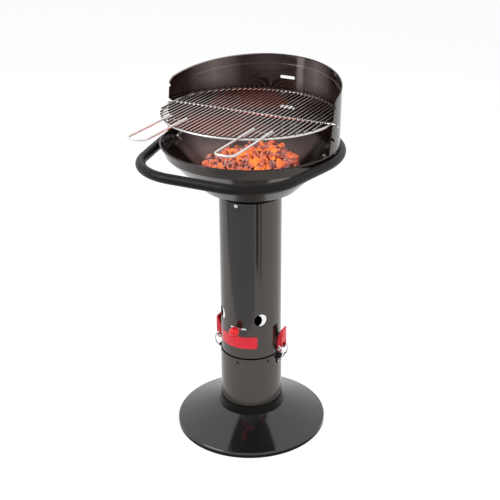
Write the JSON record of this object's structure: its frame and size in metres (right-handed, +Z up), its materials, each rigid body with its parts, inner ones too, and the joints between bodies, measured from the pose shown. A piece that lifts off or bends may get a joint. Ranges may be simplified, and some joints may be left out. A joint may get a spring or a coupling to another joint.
{
  "type": "charcoal grill",
  "caption": "Freestanding column charcoal grill: dished bowl on a two-part tube with a round base, windscreen, lift-out wire grid, ring handle and air control.",
  "frame": {"origin": "on the column's axis at floor level, the centre of the base's rest ring", "axes": "+Z up, -Y to the front where the air knob is, +X to the right of the grill seen from the front"},
  "size_m": [0.4947, 0.5907, 1],
  "materials": {
    "base_plate": "glossy black enamel",
    "base_bolts": "zinc plated",
    "base_nuts": "zinc plated",
    "tube_collar": "glossy black enamel",
    "lower_tube": "satin grey enamel",
    "stop_rivets": "dark steel",
    "upper_tube": "satin grey enamel",
    "label_plate": "red lacquer",
    "air_ring": "bright zinc",
    "knob_screw": "zinc plated",
    "knob_ball": "glossy red",
    "latch_plate_left": "grey",
    "latch_plate_right": "grey",
    "latch_rivets": "bright",
    "lever_pins": "bright",
    "latch_lever_left": "red enamel",
    "latch_lever_right": "red enamel",
    "latch_bail_left": "bright wire",
    "latch_bail_right": "bright wire",
    "catch_left": "black",
    "catch_right": "black",
    "bowl": "satin grey enamel",
    "neck_bolts": "zinc plated",
    "neck_nuts": "zinc plated",
    "charcoal_grate": "scaled steel",
    "charcoal_bed": "burning charcoal",
    "handle_ring": "matt black enamel",
    "rail_inserts": "zinc plated",
    "wing_screws": "zinc plated",
    "windscreen": "satin grey enamel",
    "grid_ring": "chromed wire",
    "grid_bars": "chromed wire",
    "grid_cross_rod": "chromed wire",
    "grid_tongue": "chromed wire",
    "grid_handle_left": "chromed wire",
    "grid_handle_right": "chromed wire",
    "grid_cross_wires": "chromed wire"
  },
  "bodies": {
    "stand": {"base_plate": "base_plate", "base_bolts": "base_bolts", "base_nuts": "base_nuts", "tube_collar": "tube_collar", "lower_tube": "lower_tube", "stop_rivets": "stop_rivets", "upper_tube": "upper_tube", "label_plate": "label_plate", "latch_plate_left": "latch_plate_left", "latch_plate_right": "latch_plate_right", "latch_rivets": "latch_rivets", "lever_pins": "lever_pins", "catch_left": "catch_left", "catch_right": "catch_right", "bowl": "bowl", "neck_bolts": "neck_bolts", "neck_nuts": "neck_nuts", "charcoal_grate": "charcoal_grate", "charcoal_bed": "charcoal_bed", "handle_ring": "handle_ring", "rail_inserts": "rail_inserts", "wing_screws": "wing_screws", "windscreen": "windscreen"},
    "air_control": {"air_ring": "air_ring", "knob_screw": "knob_screw", "knob_ball": "knob_ball"},
    "lever_left": {"latch_lever_left": "latch_lever_left"},
    "bail_left": {"latch_bail_left": "latch_bail_left"},
    "lever_right": {"latch_lever_right": "latch_lever_right"},
    "bail_right": {"latch_bail_right": "latch_bail_right"},
    "grid": {"grid_ring": "grid_ring", "grid_bars": "grid_bars", "grid_cross_rod": "grid_cross_rod", "grid_tongue": "grid_tongue", "grid_handle_left": "grid_handle_left", "grid_handle_right": "grid_handle_right", "grid_cross_wires": "grid_cross_wires"}
  },
  "joints": [
    {"name": "air_ring_turn", "type": "hinge", "parent": "stand", "child": "air_control", "pos_m": [0, 0, 0.3495], "axis": [0, 0, 1], "range_deg": [-15, 15]},
    {"name": "grid_pull", "type": "slide", "parent": "stand", "child": "grid", "axis": [0, -0.866, 0.5], "range_m": [0, 0.016]},
    {"name": "latch_lever_turn_left", "type": "hinge", "parent": "stand", "child": "lever_left", "pos_m": [-0.0923, 0, 0.2475], "axis": [0, -1, 0], "range_deg": [0, 60]},
    {"name": "latch_bail_turn_left", "type": "hinge", "parent": "lever_left", "child": "bail_left", "pos_m": [-0.09223, 0, 0.2595], "axis": [0, -1, 0], "range_deg": [-48, 0]},
    {"name": "latch_lever_turn_right", "type": "hinge", "parent": "stand", "child": "lever_right", "pos_m": [0.0923, 0, 0.2475], "axis": [0, 1, 0], "range_deg": [0, 60]},
    {"name": "latch_bail_turn_right", "type": "hinge", "parent": "lever_right", "child": "bail_right", "pos_m": [0.09223, 0, 0.2595], "axis": [0, 1, 0], "range_deg": [-48, 0]}
  ],
  "couplings": [
    {"joint": "latch_bail_turn_left", "follows": "latch_lever_turn_left", "ratio": -0.768},
    {"joint": "latch_bail_turn_right", "follows": "latch_lever_turn_right", "ratio": -0.768}
  ]
}
